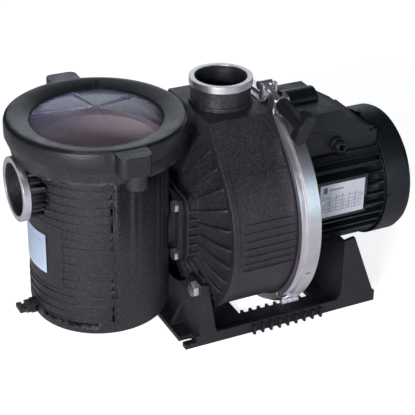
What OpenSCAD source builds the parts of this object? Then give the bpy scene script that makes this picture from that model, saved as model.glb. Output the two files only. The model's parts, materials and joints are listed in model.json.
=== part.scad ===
// Self-priming pool pump with a strainer pot, a band-clamped tank and a fan-cooled motor.
// X runs along the motor shaft from the pot to the fan, Z is up, and the floor is z = 0.
// The discharge port stands over x = 0, and the front is the -Y side.

/* [Base] */
// Length of the base along the shaft
base_l = 255; // [250:1:300]
// Width of the base
base_w = 160; // [150:1:220]
// Thickness of the base floor
base_t = 6; // [5:0.5:9]
// Height of the front and back rails
rail_h = 14; // [10:1:20]
// Height of the front upright
upright_h = 82; // [78:1:90]
// Height of the shaft above the floor
shaft_h = 140; // [139:0.5:150]

/* [Pipe ports] */
// Wall diameter of the threaded port bores
port_bore = 57; // [40:0.5:59]
// Outer diameter of the stainless port rings
port_ring_d = 72; // [70:0.5:80]
// Height of the stainless port rings
port_ring_h = 8; // [6:0.5:12]
// Height of the discharge face above the floor
discharge_z = 298; // [294:0.5:320]
// Height of the suction axis above the floor
suction_z = 208; // [195:0.5:212]
// Distance of the suction face from the pot axis
suction_reach = 97; // [92:0.5:115]

/* [Strainer pot] */
// Distance of the pot axis from the discharge axis
pot_x = 150; // [149:0.5:165]
// Outer diameter of the pot
pot_d = 158; // [150:0.5:159]
// Wall of the pot
pot_wall = 5; // [4:0.5:7]
// Height of the pot floor above the ground
pot_z = 45; // [30:1:60]
// Diameter of the opening in the lock ring
lid_open_d = 144.5; // [130:0.5:150]
// Outer diameter of the lock ring
ring_d = 200; // [196:1:210]
// Width of a lock ring lug
lug_w = 36; // [24:1:44]
// Wall of the strainer basket
basket_wall = 2.2; // [1.6:0.2:3]
// Depth of the strainer basket
basket_depth = 143; // [100:1:150]

/* [Tank] */
// Outer diameter of the tank barrel
tank_d = 238; // [230:1:240]
// Wall of the tank
tank_wall = 6; // [4:0.5:8]
// Width of the flat on top of the tank
saddle_w = 104; // [90:1:110]
// Number of radial ribs on the tank front
front_ribs = 30; // [16:1:36]
// Thickness of a radial rib
rib_t = 3; // [2:0.2:4]
// Outer diameter of the band clamp
clamp_d = 264; // [262:0.5:272]
// Width of the band clamp
clamp_w = 23; // [22:0.5:28]

/* [Motor] */
// Diameter over the cooling fins
motor_d = 150; // [142:1:154]
// Diameter of the fan cover
cover_d = 156; // [154:0.5:164]
// Length of the fan cover
cover_l = 36; // [34:1:50]
// Number of cooling fins
fin_n = 36; // [20:1:44]
// Diameter of the motor shaft in its bearings
shaft_d = 19; // [14:0.5:20]
// Diameter of the impeller
impeller_d = 124; // [90:1:130]

/* [Fits] */
// Gap round parts that turn or lift
gap = 0.4; // [0.3:0.05:0.8]
// Radial clearance of a running fit
run = 0.05; // [0.02:0.01:0.09]

/* [Hidden] */
$fn = 96;

black = "#2b2a2f";
steel = "#b9bcc0";

base_x0 = -78;
base_x1 = base_x0 + base_l;
half_w = base_w / 2;
upright_x = -60;
upright_t = 5;
rail_t = 5;
saddle_x = 129;
saddle_t = 6;
saddle_pad_t = 3;
window_x0 = 9;
window_x1 = 106;
window_y = 46;
tooth_n = 9;
tooth_pitch = 11.2;
slot_r = 5;
foot_hole_r = 5;
foot_hole_y = half_w - 18;
foot_hole_x = base_x1 - 12;

pot_r = pot_d / 2;
pot_in = pot_r - pot_wall;
pot_rim_z = 262;
pot_rim_r = ring_d / 2 - 12;
rim_in = pot_in + 4;
ledge_z = 244;
oring_r = 2.4;
oring_at = rim_in + 5;
ring_r = ring_d / 2;
lid_r = pot_rim_r - 1.6;
lid_z = 264;
lid_t = 6;
lid_open_r = lid_open_d / 2;
lid_top = 287.5;
suction_x = -pot_x - suction_reach;
port_r = port_bore / 2;
ring_wall = 2;
ring_lip = 1.5;
neck_r = port_ring_d / 2 - ring_wall;
joint_x = -70;
gasket_t = 2;
flange_t = 6;
flange_hw = 54;
flange_z0 = 101;
flange_z1 = 181;
flange_bolt_y = 46;
flange_bolt_z = [flange_z0 + 9, flange_z1 - 9];
hub_hw = 58;
hub_z0 = 101;
hub_z1 = 182;
hub_corner = 14;
pass_r = 30;
basket_r = pot_in - 5;
basket_foot = 63;
basket_z = ledge_z + gap + 2.5 - basket_depth;

tank_r = tank_d / 2;
tank_in = tank_r - tank_wall;
tank_x0 = -40;
rim_w = 7.6;
rim_h = 1.8;
saddle_z = 268;
hub_r = 62;
hub_x = joint_x + gasket_t;
clamp_r = clamp_d / 2;
clamp_x0 = 39.6;
clamp_x1 = clamp_x0 + clamp_w;
band_t = 1.6;
flange_r = clamp_r - 5.2;
lip_r = tank_r + 2.4;
tank_x1 = clamp_x0 + band_t + 6;
plate_x0 = tank_x1;
plate_x1 = clamp_x1 - band_t - 0.5;
clamp_a0 = 14;
clamp_a1 = 137;
rear_a = 9;

bolt_y = -45;
bolt_z = shaft_h + 135;
bolt_tilt = 11;
bolt_r = 4;
bolt_x = clamp_x0 + clamp_w / 2;

motor_r = motor_d / 2;
body_r = motor_r - 8;
bore_r = 58;
adapter_x0 = plate_x1 + 0.2;
frame_x0 = 76;
frame_x1 = 184;
shield_x1 = 190;
cover_r = cover_d / 2;
cover_x1 = 220.4;
cover_x0 = cover_x1 - cover_l;
shaft_r = shaft_d / 2;
bearing_r = 20;
bearing_w = 12;
front_bearing_x = frame_x0 - bearing_w - 1;
rear_bearing_x = 172;
impeller_r = impeller_d / 2;
impeller_x0 = -2;
impeller_x1 = 22;
tip_r = 6;

box_x0 = 84;
box_x1 = 184;
box_hw = 46;
box_zl = shaft_h + 89;
box_zr = shaft_h + 70;
lid_top_z = shaft_h + 110;
box_wall = 3;
box_pad = 1.5;
corner_x = 6;
corner_y = 40;
gland_x = 128;
gland_z = 209;
plate_w = 60;
plate_h = 42;
plate_y = motor_r - 1.4;

// Move shaft-axis shapes to the shaft height
module on_shaft() {
  translate([0, 0, shaft_h]) children();
}

// Cylinder along X between two stations
module xcyl(x0, x1, r) {
  translate([x0, 0, 0]) rotate([0, 90, 0]) cylinder(h = x1 - x0, r = r);
}

// Tube along X
module xring(x0, x1, ro, ri) {
  difference() {
    xcyl(x0, x1, ro);
    xcyl(x0 - 1, x1 + 1, ri);
  }
}

// Turn an [x, r] outline round the shaft axis
module xturn(points) {
  rotate([0, 90, 0]) rotate_extrude()
    polygon([for (p = points) [p[1], p[0]]]);
}

// Tube along Z
module ztube(z0, z1, ro, ri) {
  translate([0, 0, z0]) difference() {
    cylinder(h = z1 - z0, r = ro);
    translate([0, 0, -1]) cylinder(h = z1 - z0 + 2, r = ri);
  }
}

// Rectangle with round corners, centred across and standing between two heights
module round_rect(half_w, z0, z1, r) {
  translate([-half_w, z0 + r]) square([2 * half_w, z1 - z0 - 2 * r]);
  translate([r - half_w, z0]) square([2 * half_w - 2 * r, z1 - z0]);
  for (s = [-1, 1], z = [z0 + r, z1 - r]) translate([s * (half_w - r), z]) circle(r = r);
}

// Hexagon prism along Z, measured across its flats
module hex(af, h) {
  cylinder(h = h, r = af / sqrt(3), $fn = 6);
}

// Hexagon-head bolt whose head sits on z = 0 and whose shank runs down
module hex_bolt(r, l, af, head) {
  union() {
    hex(af, head);
    translate([0, 0, -l]) cylinder(h = l + 1, r = r);
  }
}

// Pan-head screw with a hexagon socket, head on z = 0
module pan_screw(r, l, head_r, head) {
  difference() {
    union() {
      cylinder(h = head, r = head_r);
      translate([0, 0, -l]) cylinder(h = l + 1, r = r);
    }
    translate([0, 0, head / 2]) hex(head_r, head);
  }
}

// Sector of the plane across the shaft; angles run from the top towards the front
module sector(a0, a1, r) {
  steps = 8;
  polygon(concat([[0, 0]], [for (i = [0:steps])
    let (a = a0 + (a1 - a0) * i / steps) [-r * sin(a), r * cos(a)]]));
}

// Keep the part of a shaft-axis shape that lies in a sector
module cut_sector(x0, x1, a0, a1, r) {
  intersection() {
    children();
    translate([x0, 0, 0]) rotate([90, 0, 90]) linear_extrude(height = x1 - x0)
      sector(a0, a1, r);
  }
}

module base() {
  color(black) difference() {
    union() {
      translate([base_x0, -half_w, 0]) cube([base_l, base_w, base_t]);
      for (s = [-1, 1]) {
        translate([base_x0 + 14, s > 0 ? half_w - rail_t : -half_w, 0])
          cube([base_l - 14, rail_t, rail_h]);
        mirror([0, s > 0 ? 1 : 0, 0]) side_gussets();
      }
      upright();
      motor_saddle();
      rail_teeth();
    }
    translate([window_x0, -window_y, -1])
      cube([window_x1 - window_x0, 2 * window_y, base_t + 2]);
    for (s = [-1, 1]) {
      foot_slot(s);
      translate([foot_hole_x, s * foot_hole_y, -1]) cylinder(h = base_t + 2, r = foot_hole_r);
      translate([upright_x - 1, s * upright_bolt_y, upright_bolt_z])
        rotate([0, 90, 0]) cylinder(h = upright_t + 2, r = bolt_hole_r);
    }
    on_shaft() xcyl(saddle_x - 1, saddle_x + saddle_t + 1, motor_r + saddle_pad_t);
  }
  color(black) window_teeth();
}
upright_bolt_y = 68;
upright_bolt_z = 73;
bolt_hole_r = 5.2;

// Slot that is open at the left end of the base
module foot_slot(s) {
  translate([base_x0 - 1, s * (half_w - 14) - slot_r, -1]) cube([13, 2 * slot_r, base_t + 2]);
  translate([base_x0 + 12, s * (half_w - 14), -1]) cylinder(h = base_t + 2, r = slot_r);
}

// Upright that carries the front of the tank
module upright() {
  difference() {
    translate([upright_x, -half_w, 0]) cube([upright_t, base_w, upright_h]);
    translate([upright_x - 1, 0, upright_h + 26]) rotate([0, 90, 0])
      cylinder(h = upright_t + 2, r = 56);
  }
  for (s = [-1, 1]) translate([upright_x + 0.5, s * 32 + 2.5, base_t - 0.5]) rotate([90, 0, 0])
    linear_extrude(height = 5) polygon([[0, 0], [0, 29], [-16, 0]]);
}

// Tapered flange beside the upright and the trapezoid plate beside the motor
module side_gussets() {
  translate([0, -half_w + rail_t, 0]) rotate([90, 0, 0]) linear_extrude(height = rail_t) {
    polygon([[upright_x, 1], [upright_x, upright_h], [upright_x + 10, upright_h - 2],
      [upright_x + 20, 20], [upright_x + 28, 1]]);
    difference() {
      polygon([[saddle_x - 10, 1], [saddle_x, 24], [saddle_x, 94], [saddle_x + 14, 96.5],
        [base_x1 - 0.5, 9], [base_x1 - 0.5, 1]]);
      translate([saddle_x - 10, 24]) circle(r = 10, $fn = 48);
    }
  }
}

// Cross wall under the motor
module motor_saddle() {
  translate([saddle_x, -half_w + 1, 0]) cube([saddle_t, base_w - 2, 90]);
}

// Small upright ribs along the front and back rails
module rail_teeth() {
  for (i = [0:tooth_n - 1], s = [-1, 1])
    translate([8 + i * tooth_pitch, s > 0 ? half_w - 1 : -half_w - 6, 0]) cube([2.6, 7, rail_h - 2]);
}

// Ribs that reach into the floor window
module window_teeth() {
  for (i = [0:tooth_n - 2], s = [-1, 1])
    translate([window_x0 + 4 + i * tooth_pitch, s > 0 ? window_y - 6 : -window_y, 0])
      cube([3, 6, base_t]);
}

// Bolts that hold the tank feet to the upright
module base_bolts() {
  color(steel) for (s = [-1, 1])
    translate([upright_x, s * upright_bolt_y, upright_bolt_z]) rotate([0, -90, 0])
      hex_bolt(5, 18, 17, 7);
}

// Rubber strip between the saddle and the motor
module motor_pad() {
  color("#19191b") on_shaft()
    cut_sector(saddle_x - 1, saddle_x + saddle_t + 1, 128, 232, cover_d)
      xring(saddle_x, saddle_x + saddle_t, motor_r + saddle_pad_t, motor_r + 0.1);
}

module at_pot() {
  translate([-pot_x, 0, 0]) children();
}

module strainer_pot() {
  color(black) difference() {
    union() {
      at_pot() pot_shell();
      translate([suction_x + ring_lip, 0, suction_z]) rotate([0, 90, 0])
        cylinder(h = suction_reach - pot_in + 6, r = neck_r);
      translate([joint_x - flange_t, 0, 0]) rotate([90, 0, 90]) linear_extrude(height = flange_t)
        round_rect(flange_hw, flange_z0, flange_z1, 10);
      translate([joint_x - 24, 0, shaft_h]) rotate([0, 90, 0]) cylinder(h = 20, r = pass_r + 14);
      drain_boss();
    }
    at_pot() pot_hollow();
    translate([suction_x - 1, 0, suction_z]) rotate([0, 90, 0])
      cylinder(h = suction_reach - pot_in + 12, r = port_r);
    translate([joint_x - 40, 0, shaft_h]) rotate([0, 90, 0]) cylinder(h = 42, r = pass_r);
    for (y = [-1, 1], z = flange_bolt_z)
      translate([joint_x - flange_t - 1, y * flange_bolt_y, z]) rotate([0, 90, 0])
        cylinder(h = flange_t + 2, r = 4.2);
    translate([suction_x, 0, suction_z]) rotate([0, 90, 0])
      ztube(0, port_ring_h, port_ring_d / 2 + 0.1, neck_r);
    translate([drain_x - 12, 0, drain_z]) rotate([0, 90, 0])
      cylinder(h = 30, r = drain_r + run);
  }
}
drain_x = -pot_x - pot_r - 6;
drain_z = pot_z + 12;
drain_r = 5;

// Turned body of the pot with its collar and the fine hoops
module pot_shell() {
  rotate_extrude() polygon([[0, pot_z], [pot_r - 5, pot_z], [pot_r - 1.5, pot_z + 1.5],
    [pot_r, pot_z + 5], [pot_r, 233], [pot_r + 3, 234], [pot_r + 3, 236.5], [pot_r + 6, 237.5],
    [pot_r + 6, 239], [ring_r - 7, 240], [ring_r - 3.5, 255], [pot_rim_r, 255],
    [pot_rim_r, pot_rim_z], [0, pot_rim_z]]);
  pot_hoops();
  stop_boss(-86);
  stop_boss(94);
}

// Boss under each lug, where the lock ring stops
module stop_boss(a) {
  rotate([0, 0, a]) translate([ring_r - 6, 0, 234]) cylinder(h = 21, r = 12);
}

// Thin raised hoops on the outer half of the pot
module pot_hoops() {
  hoop_n = 17;
  pitch = (226 - pot_z - 17) / (hoop_n - 1);
  difference() {
    union() {
      for (i = [0:hoop_n - 1]) ztube(pot_z + 17 + i * pitch - 0.6, pot_z + 17 + i * pitch + 0.6,
        pot_r + 0.8, pot_r - 1);
      for (s = [-1, 1]) rotate([0, 0, s * 100]) translate([pot_r - 1, -0.8, pot_z + 16])
        cube([1.8, 1.6, 166]);
    }
    translate([-12, -pot_d, pot_z]) cube([pot_d, 2 * pot_d, 220]);
    translate([-pot_d, -pot_r * sin(38), 98]) cube([pot_d - pot_r * cos(38), pot_d * sin(38), 79]);
  }
}

module pot_hollow() {
  rotate_extrude() polygon([[0, pot_z + pot_wall + 1], [pot_in - 3, pot_z + pot_wall + 1],
    [pot_in, pot_z + pot_wall + 4], [pot_in, ledge_z], [rim_in, ledge_z], [rim_in, pot_rim_z + 1],
    [0, pot_rim_z + 1]]);
  ztube(pot_rim_z - 3.2, pot_rim_z + 1, oring_at + oring_r + 0.3, oring_at - oring_r - 0.3);
}

module drain_boss() {
  translate([drain_x, 0, drain_z]) rotate([0, 90, 0]) cylinder(h = 12, r = 9);
}

// Stainless ring with a turned-in lip, mouth at z = 0
module port_ring() {
  ztube(-port_ring_h, 0, port_ring_d / 2, neck_r);
  ztube(-ring_lip, 0, neck_r + 0.5, port_r + 1.2);
}

module suction_ring() {
  color(steel) translate([suction_x, 0, suction_z]) rotate([0, -90, 0]) port_ring();
}

module discharge_ring() {
  color(steel) translate([0, 0, discharge_z]) port_ring();
}

module pot_gasket() {
  color("#141414") difference() {
    translate([joint_x, 0, 0]) rotate([90, 0, 90]) linear_extrude(height = gasket_t)
      round_rect(flange_hw - 2, flange_z0 + 2, flange_z1 - 2, 8);
    translate([joint_x - 1, 0, shaft_h]) rotate([0, 90, 0])
      cylinder(h = gasket_t + 2, r = pass_r + 2);
    for (y = [-1, 1], z = flange_bolt_z)
      translate([joint_x - 1, y * flange_bolt_y, z]) rotate([0, 90, 0])
        cylinder(h = gasket_t + 2, r = 4.5);
  }
}

// Bolts that join the tank inlet to the pot
module pot_bolts() {
  color(steel) for (y = [-1, 1], z = flange_bolt_z)
    translate([joint_x - flange_t, y * flange_bolt_y, z]) rotate([0, -90, 0])
      hex_bolt(3.9, flange_t + gasket_t + 10, 13, 4);
}

// Paper label wrapped round the pot under the suction port
module pot_label() {
  color("#b9cbe0") at_pot() intersection() {
    ztube(113.5, 161, pot_r + 0.8, pot_r + 0.05);
    translate([-pot_d, -pot_r * sin(31.4), 100]) cube([pot_d / 2 + 5, 2 * pot_r * sin(31.4), 80]);
  }
}

module lid_oring() {
  color("#101010") at_pot() rotate_extrude()
    translate([oring_at, pot_rim_z - 3.2 + oring_r]) circle(r = oring_r, $fn = 24);
}

// Perforated cup that hangs on the ledge inside the pot
module basket() {
  top = ledge_z + gap;
  color("#c9b6c2") at_pot() difference() {
    rotate_extrude() polygon([[0, basket_z], [basket_foot, basket_z], [basket_r, top - 6],
      [basket_r, top], [rim_in - gap, top], [rim_in - gap, top + 2.5],
      [basket_r - basket_wall, top + 2.5], [basket_r - basket_wall, top - 6],
      [basket_foot - basket_wall, basket_z + basket_wall], [0, basket_z + basket_wall]]);
    translate([-pot_r, 0, suction_z]) rotate([0, 90, 0]) cylinder(h = pot_r / 2, r = port_r + 1.5);
  }
}

// Clear lid: flat flange and a low cone with six ribs
module lid() {
  cone_r = lid_open_r - 0.9;
  color([0.6, 0.62, 0.8, 0.45]) at_pot() {
    union() {
      rotate_extrude() polygon([[0, lid_top], [cone_r, 275], [cone_r, lid_z + lid_t],
        [lid_r, lid_z + lid_t], [lid_r, lid_z], [cone_r - 5, lid_z], [cone_r - 5, 271],
        [0, lid_top - 4]]);
      for (i = [0:5]) rotate([0, 0, 60 * i + 30]) rotate([90, 0, 0]) translate([0, 0, -1.5])
        linear_extrude(height = 3) polygon([[0, lid_top - 1], [0, lid_top + 1.6],
          [cone_r - 2, 276.6], [cone_r - 2, 273]]);
    }
  }
}

// Screw-down ring that holds the lid, with two lugs to turn it by
module lock_ring() {
  color(black) at_pot() union() {
    rotate_extrude() polygon([[lid_open_r, 270.4], [lid_open_r, 275], [lid_open_r + 2, 276.2],
      [ring_r - 9, 280.8], [ring_r - 4, 280.6], [ring_r - 1, 278.6], [ring_r, 275],
      [ring_r, 262], [ring_r - 2.5, 255.4], [pot_rim_r + gap, 255.4],
      [pot_rim_r + gap, 270.4]]);
    for (a = [-91, 89]) rotate([0, 0, a]) ring_lug();
  }
}

module ring_lug() {
  translate([0, 0, 258]) linear_extrude(height = 22) {
    translate([ring_r - 6, -lug_w / 2]) square([16, lug_w]);
    translate([ring_r + 5, -lug_w / 2 + 8]) square([13, lug_w - 16]);
    for (s = [-1, 1]) translate([ring_r + 10, s * (lug_w / 2 - 8)]) circle(r = 8, $fn = 48);
  }
}

// Screw plug with a cross bar, seat at z = 0, head up
module plug(shank_r, shank_l) {
  union() {
    translate([0, 0, -shank_l]) cylinder(h = shank_l + 1, r = shank_r);
    translate([0, 0, 2]) hex(15, 4);
    cylinder(h = 3, r = shank_r);
    translate([0, 0, 5]) cylinder(h = 5, r = 4);
    translate([-2.5, -8, 9]) cube([5, 16, 6]);
  }
}

module drain_plug() {
  color(black) translate([drain_x, 0, drain_z]) rotate([0, -90, 0]) plug(drain_r, 11);
}

// Seal under a plug head
module plug_seal() {
  ztube(0.3, 1.7, drain_r + 2.4, drain_r + run);
}

module drain_oring() {
  color("#101010") translate([drain_x, 0, drain_z]) rotate([0, -90, 0]) plug_seal();
}

module tank_body() {
  color(black) difference() {
    union() {
      on_shaft() {
        tank_turned();
        translate([tank_x0, 0, 0]) rotate([90, 0, 90])
          linear_extrude(height = clamp_x0 - 1.6 - tank_x0) saddle_outline();
        tank_ribs();
      }
      inlet_hub();
      translate([0, 0, saddle_z - 1]) cylinder(h = discharge_z - ring_lip - saddle_z + 1, r = neck_r);
      translate([0, 0, saddle_z - 1]) cylinder(h = 5, r = neck_r + 2);
      tank_feet();
      tank_drain_boss();
    }
    on_shaft() {
      xturn([[tank_x0 + tank_wall, 0], [tank_x0 + tank_wall, tank_in], [tank_x1 + 1, tank_in],
        [tank_x1 + 1, 0]]);
      xturn([[-54, 0], [-54, hub_r - 6], [tank_x0 + tank_wall + 1, tank_in - 14],
        [tank_x0 + tank_wall + 1, 0]]);
      xcyl(hub_x - 1, -50, pass_r);
    }
    translate([0, 0, shaft_h + tank_in - 12])
      cylinder(h = discharge_z - shaft_h - tank_in + 14, r = port_r);
    for (y = [-1, 1], z = flange_bolt_z)
      translate([hub_x - 1, y * flange_bolt_y, z]) rotate([0, 90, 0]) cylinder(h = 12, r = 3.95);
    for (s = [-1, 1]) translate([upright_x + upright_t - 1, s * upright_bolt_y, upright_bolt_z])
      rotate([0, 90, 0]) cylinder(h = 14, r = 5.05);
    translate([tank_drain_x, tank_drain_y - 30, tank_drain_z]) rotate([-90, 0, 0])
      cylinder(h = 60, r = drain_r + run);
  }
}
tank_drain_x = -10;
tank_drain_y = 70;
tank_drain_z = shaft_h - 84;

// Barrel, front rim, front cone and clamp flange, with a solid core for the hollow
module tank_turned() {
  xturn([[-56, 0], [-56, hub_r], [tank_x0 + 1.5, tank_in - 5], [tank_x0 + 1.5, tank_in - 2],
    [tank_x0, tank_in - 1], [tank_x0, tank_r + rim_h - 0.6], [tank_x0 + 0.6, tank_r + rim_h],
    [tank_x0 + rim_w, tank_r + rim_h], [tank_x0 + rim_w, tank_r],
    [clamp_x0 + band_t + 0.5, tank_r], [clamp_x0 + band_t + 0.5, flange_r],
    [tank_x1, flange_r], [tank_x1, 0]]);
}

// Raised flat that carries the discharge neck
module saddle_outline() {
  a = 55;
  y = tank_r * sin(a) - 1;
  z = tank_r * cos(a) - 1;
  polygon([[-y, z], [-saddle_w / 2, saddle_z - shaft_h], [saddle_w / 2, saddle_z - shaft_h],
    [y, z], [0, 0]]);
}

// Radial ribs on the front cone and short raised bars on the barrel
module tank_ribs() {
  for (i = [0:front_ribs - 1]) rotate([360 * (i + 0.5) / front_ribs, 0, 0])
    translate([0, rib_t / 2, 0]) rotate([90, 0, 0]) linear_extrude(height = rib_t)
      polygon([[-55, hub_r - 2], [-57, hub_r + 3], [-56, hub_r + 7], [-53.9, hub_r + 14],
        [-49.5, hub_r + 33], [-43, tank_in - 3], [tank_x0 + 0.4, tank_in + 0.5],
        [tank_x0 + 3, tank_in - 8]]);
  for (i = [0:6], s = [-1, 1]) rotate([s * (76 + 4.65 * i), 0, 0])
    translate([-25, -1.1, tank_r - 2]) cube([62, 2.2, 3.6]);
}

// Solid inlet block with a lip at the joint and fins that flare towards the tank
module inlet_hub() {
  translate([hub_x, 0, 0]) rotate([90, 0, 90]) linear_extrude(height = 27)
    round_rect(hub_hw, hub_z0, hub_z1, hub_corner);
  translate([hub_x, 0, 0]) rotate([90, 0, 90]) linear_extrude(height = 2.5)
    round_rect(hub_hw + 2, hub_z0 - 2, hub_z1 + 2, hub_corner + 2);
  for (i = [0:5]) translate([0, 0, hub_z0 + 12 + i * 10.8]) linear_extrude(height = 2.4)
    hub_fin();
}

// Fin that leaves the block in a curve and meets the tank front
module hub_fin() {
  flare_r = 34;
  for (s = [0, 1]) mirror([0, s, 0]) difference() {
    translate([hub_x + 2, 0]) square([24, hub_hw + 26]);
    translate([hub_x + 2, hub_hw + 2.6 + flare_r]) circle(r = flare_r);
    translate([hub_x + 1, hub_hw + 2.6 + flare_r]) square([40, 40]);
  }
}

// Feet behind the upright
module tank_feet() {
  for (s = [0, 1]) mirror([0, s, 0])
    translate([upright_x + upright_t, upright_bolt_y - 9, upright_bolt_z - 9])
      cube([20, half_w - rail_t - gap - upright_bolt_y + 9, 24]);
}

module tank_drain_boss() {
  translate([tank_drain_x, tank_drain_y, tank_drain_z]) rotate([-90, 0, 0])
    cylinder(h = 26, r = 9);
}

module at_tank_drain() {
  translate([tank_drain_x, tank_drain_y + 26, tank_drain_z]) rotate([-90, 0, 0]) children();
}

module tank_drain_plug() {
  color(black) at_tank_drain() plug(drain_r, 11);
}

module tank_drain_oring() {
  color("#101010") at_tank_drain() plug_seal();
}

// Guide ring and inlet wall round the impeller
module diffuser() {
  wall_r = tank_in - 3;
  wall_x = max(impeller_x1, port_r) + 1;
  color("#3a3a40") on_shaft() union() {
    xring(-50, impeller_x0, pass_r - 1, pass_r - 5);
    xring(impeller_x0 - 3, impeller_x0, impeller_r + 8, pass_r - 3);
    xring(impeller_x0 - 2, wall_x + 3, impeller_r + 8, impeller_r + 4);
    xring(wall_x, wall_x + 3, wall_r, impeller_r + 6);
    for (i = [0:7]) rotate([45 * i, 0, 0]) translate([wall_x - 10, -1.5, impeller_r + 6])
      cube([11, 3, 16]);
  }
}

// Plate that closes the tank and holds the shaft seal
module seal_plate() {
  color(black) on_shaft() difference() {
    xturn([[plate_x0, 0], [plate_x0, flange_r], [plate_x1, flange_r], [plate_x1, 0]]);
    xcyl(plate_x0 - 1, plate_x1 + 1, shaft_r + 4);
    xcyl(plate_x0 - 1, plate_x0 + 7, 17);
    xring(plate_x0 - 1, plate_x0 + 3, tank_in + 1, tank_in - 5);
    xring(plate_x0 + 6, plate_x1 + 1, flange_r - 8, 60);
    for (a = [45:90:315]) rotate([a, 0, 0]) translate([plate_x0 - 1, 0, 48]) rotate([0, 90, 0])
      cylinder(h = 20, r = 4.2);
  }
}

module seal_plate_oring() {
  color("#101010") on_shaft() translate([plate_x0 + 0.8, 0, 0]) rotate([0, 90, 0])
    rotate_extrude() translate([tank_in - 2.6, 0]) circle(r = 2.1, $fn = 24);
}

// Fixed ring of the shaft seal
module seal_seat() {
  color("#d8d4cc") on_shaft() xring(plate_x0 + 1, plate_x0 + 7, 16.9, shaft_r + 1);
}

// V-section band of the clamp
module band() {
  step_x = clamp_x0 + 6;
  xturn([[clamp_x0, lip_r], [clamp_x0, clamp_r - 3.4], [step_x, clamp_r - 3.2],
    [step_x + 1.4, clamp_r], [clamp_x1, clamp_r], [clamp_x1, lip_r], [clamp_x1 - band_t, lip_r],
    [clamp_x1 - band_t, clamp_r - band_t], [step_x + 2, clamp_r - band_t],
    [step_x + 0.8, clamp_r - 4.8], [clamp_x0 + band_t, clamp_r - 4.8],
    [clamp_x0 + band_t, lip_r]]);
}

module band_part(a0, a1) {
  cut_sector(clamp_x0 - 1, clamp_x1 + 1, a0, a1, 2 * clamp_d) band();
}

// Point on the clamp circle at an angle from the top
module on_clamp(a, r) {
  rotate([a, 0, 0]) translate([0, 0, r]) children();
}

// Knuckle on the band end, round the hinge pin
module knuckle(a, x0, x1, side) {
  on_clamp(a, clamp_r + 2.2) difference() {
    union() {
      xcyl(x0, x1, 3.4);
      translate([x0, side > 0 ? 0 : -7, -3.7]) cube([x1 - x0, 7, 1.9]);
    }
    xcyl(x0 - 1, x1 + 1, 1.5 + run);
  }
}
link_a = 138.5;
rear_link_a = 221.5;

// Cheeks that hold the bolt above a band end
module cheeks(a, front, back) {
  for (x = [bolt_x - 9.5, bolt_x + 7]) on_clamp(a, clamp_r - 4.4)
    translate([x, -front, 0]) cube([2.5, front + back, 21]);
}

module clamp_front() {
  color(steel) on_shaft() difference() {
    union() {
      band_part(clamp_a0, clamp_a1);
      knuckle(link_a, clamp_x0 + 0.5, clamp_x0 + 7.5, 1);
      knuckle(link_a, clamp_x1 - 7.5, clamp_x1 - 0.5, 1);
      cheeks(clamp_a0 + 2.5, 10, 4);
    }
    on_clamp(110, clamp_r - 4) translate([clamp_x0 + 12, 0, 0]) {
      cylinder(h = 8, r = 1.4);
      translate([3, 0, 0]) cylinder(h = 8, r = 1.4);
    }
    seat_cut();
  }
}

// Clears the washer and the bolt at the front cheeks
module seat_cut() {
  translate([bolt_x, bolt_y, bolt_z - shaft_h]) rotate([90 + bolt_tilt, 0, 0])
    translate([0, 0, washer_at - gap]) cylinder(h = 20, r = 13);
}

module clamp_rear() {
  color(steel) on_shaft() {
    union() {
      band_part(-rear_a - (360 - rear_link_a - rear_a) + 1.5, rear_a);
      knuckle(rear_link_a, clamp_x0 + 0.5, clamp_x0 + 7.5, -1);
      knuckle(rear_link_a, clamp_x1 - 7.5, clamp_x1 - 0.5, -1);
      cheeks(rear_a - 1.8, 4, 2);
    }
  }
}

module clamp_bottom() {
  color(steel) on_shaft() {
    union() {
      band_part(link_a + 1.5, rear_link_a - 1.5);
      knuckle(link_a, clamp_x0 + 8, clamp_x1 - 8, -1);
      knuckle(rear_link_a, clamp_x0 + 8, clamp_x1 - 8, 1);
    }
  }
}

module clamp_pins() {
  color(steel) on_shaft() for (a = [link_a, rear_link_a])
    on_clamp(a, clamp_r + 2.2) xcyl(clamp_x0, clamp_x1, 1.5);
}

// Bolt with a cross head that hooks behind the rear cheeks
module clamp_tbolt() {
  color(steel) at_bolt() {
    union() {
      translate([0, 0, -36]) cylinder(h = 36 + bolt_end, r = bolt_r);
      translate([-8.5, 0, -36]) rotate([0, 90, 0]) cylinder(h = 17, r = 5);
    }
  }
}

// Bolt line: +Z of this frame points along the bolt towards the front
module at_bolt() {
  translate([bolt_x, bolt_y, bolt_z]) rotate([90 + bolt_tilt, 0, 0]) children();
}
bolt_end = 38;
washer_at = 4;
hub_l = 42;
knob_r = 8.6;
wing_t = 11;
wing_out = 12;
wing_r = 7;

module knob_washer() {
  color(steel) at_bolt() ztube(washer_at, washer_at + 2, 9.5, bolt_r + run);
}

// Long-hubbed knob with a bar across its closed end
module clamp_knob() {
  color("#1d1c20") at_bolt() difference() {
    translate([0, 0, washer_at + 2 + gap]) union() {
      cylinder(h = hub_l + wing_t - 1, r = knob_r);
      rotate([0, 0, -20]) translate([0, 0, hub_l]) linear_extrude(height = wing_t) {
        translate([-wing_r, -wing_out]) square([2 * wing_r, 2 * wing_out]);
        for (s = [-1, 1]) translate([0, s * wing_out]) circle(r = wing_r);
      }
    }
    translate([0, 0, washer_at]) cylinder(h = bolt_end + 2 - washer_at, r = bolt_r + run);
  }
}

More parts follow.
